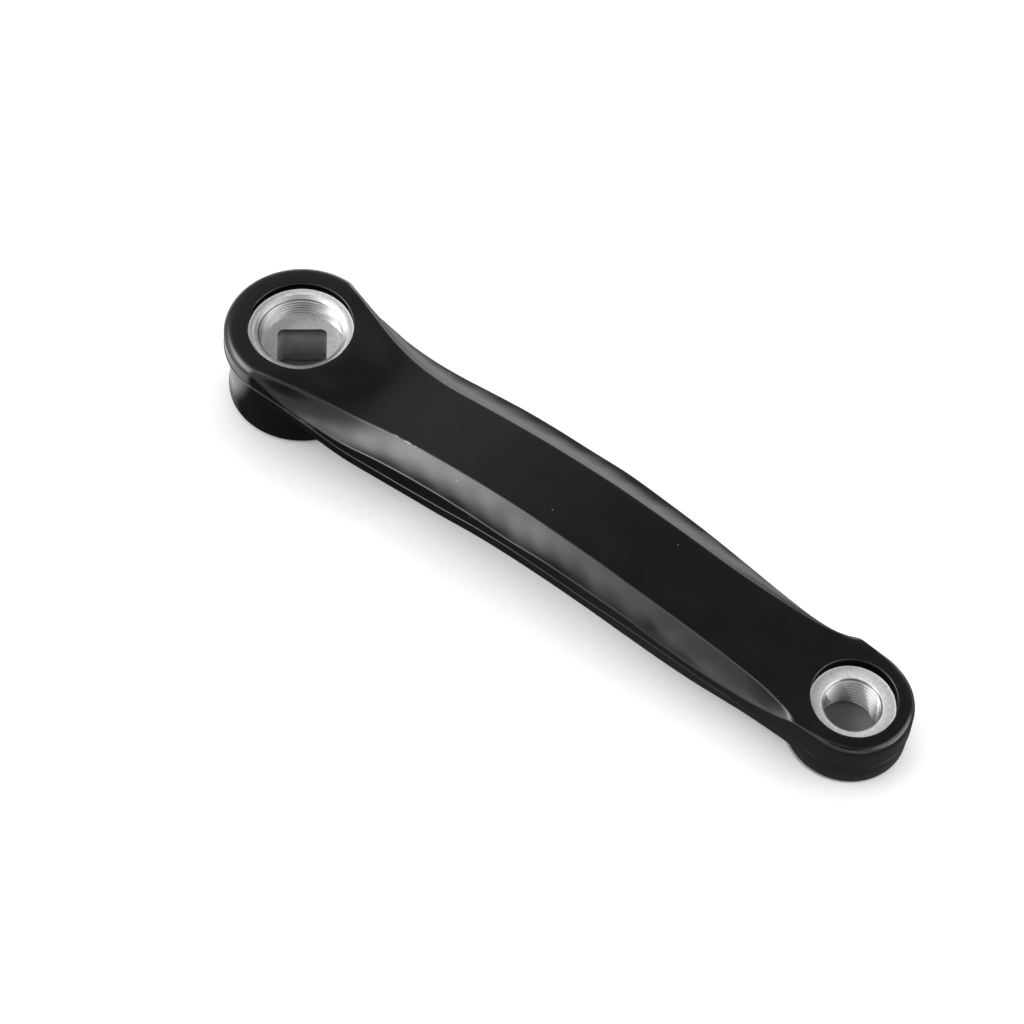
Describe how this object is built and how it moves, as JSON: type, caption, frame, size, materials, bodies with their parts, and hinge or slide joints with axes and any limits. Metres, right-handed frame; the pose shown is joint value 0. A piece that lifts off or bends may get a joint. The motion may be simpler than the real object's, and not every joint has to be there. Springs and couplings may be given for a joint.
{
  "type": "bicycle crank arm",
  "caption": "Black square-taper crank arm, bowed and scooped along its flanks, with a bored spindle boss at one end and a threaded pedal eye at the other.",
  "frame": {"origin": "on the spindle axis at the inner face of the boss", "axes": "+X from the spindle axis to the pedal axis, +Z along both bores, away from the bicycle"},
  "size_m": [0.2046, 0.0398, 0.0273],
  "materials": {
    "black_coat": "satin black coat on forged aluminium, bare and machined in the bores"
  },
  "bodies": {
    "root": {"crank_arm": "black_coat"}
  },
  "joints": []
}
